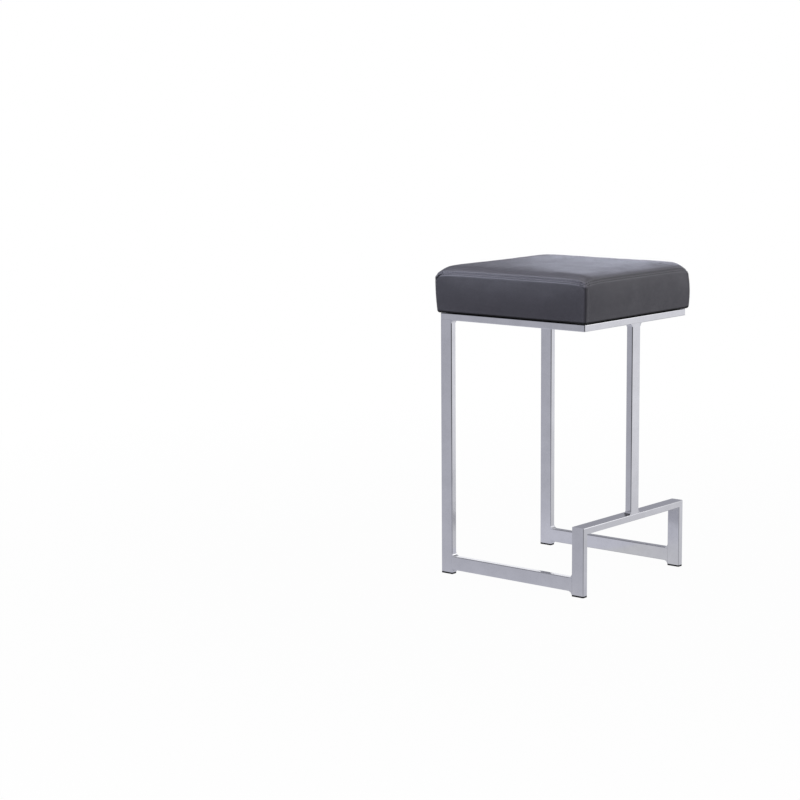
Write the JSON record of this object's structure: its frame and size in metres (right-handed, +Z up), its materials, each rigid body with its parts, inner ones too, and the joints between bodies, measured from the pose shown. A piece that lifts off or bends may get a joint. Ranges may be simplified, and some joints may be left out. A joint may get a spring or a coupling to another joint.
{
  "type": "counter stool",
  "caption": "Square counter stool: chromed rectangular-tube frame with a floor-rail base, front footrest and centre post, under a crowned box cushion in charcoal coated fabric",
  "frame": {"origin": "on the floor, at the middle of the four feet and of the frame's plan", "axes": "+Z up, -Y towards the front with the footrest, +X to the right seen from the front"},
  "size_m": [0.3992, 0.3992, 0.6817],
  "materials": {
    "chromed_steel": "polished chrome plating on welded steel tube",
    "pad_plastic": "moulded black polyethylene",
    "plywood": "bare birch plywood",
    "foam": "open-cell polyurethane foam",
    "cover_vinyl": "satin coated fabric with a fine leather grain",
    "dust_cloth": "black non-woven cloth",
    "plated_hardware": "bright zinc-plated steel"
  },
  "bodies": {
    "root": {"ring_front_tube": "chromed_steel", "ring_rear_tube": "chromed_steel", "ring_left_tube": "chromed_steel", "ring_right_tube": "chromed_steel", "rear_left_leg": "chromed_steel", "rear_right_leg": "chromed_steel", "front_left_leg": "chromed_steel", "front_right_leg": "chromed_steel", "left_floor_rail": "chromed_steel", "right_floor_rail": "chromed_steel", "footrest_bar": "chromed_steel", "centre_post": "chromed_steel", "weld_fillets": "chromed_steel", "rear_left_pad": "pad_plastic", "rear_right_pad": "pad_plastic", "front_left_pad": "pad_plastic", "front_right_pad": "pad_plastic", "seat_board": "plywood", "foam_block": "foam", "cover_top_panel": "cover_vinyl", "cover_front_panel": "cover_vinyl", "cover_rear_panel": "cover_vinyl", "cover_left_panel": "cover_vinyl", "cover_right_panel": "cover_vinyl", "dust_cover": "dust_cloth", "tee_nuts": "plated_hardware", "seat_bolts": "plated_hardware", "bolt_washers": "plated_hardware"}
  },
  "joints": []
}
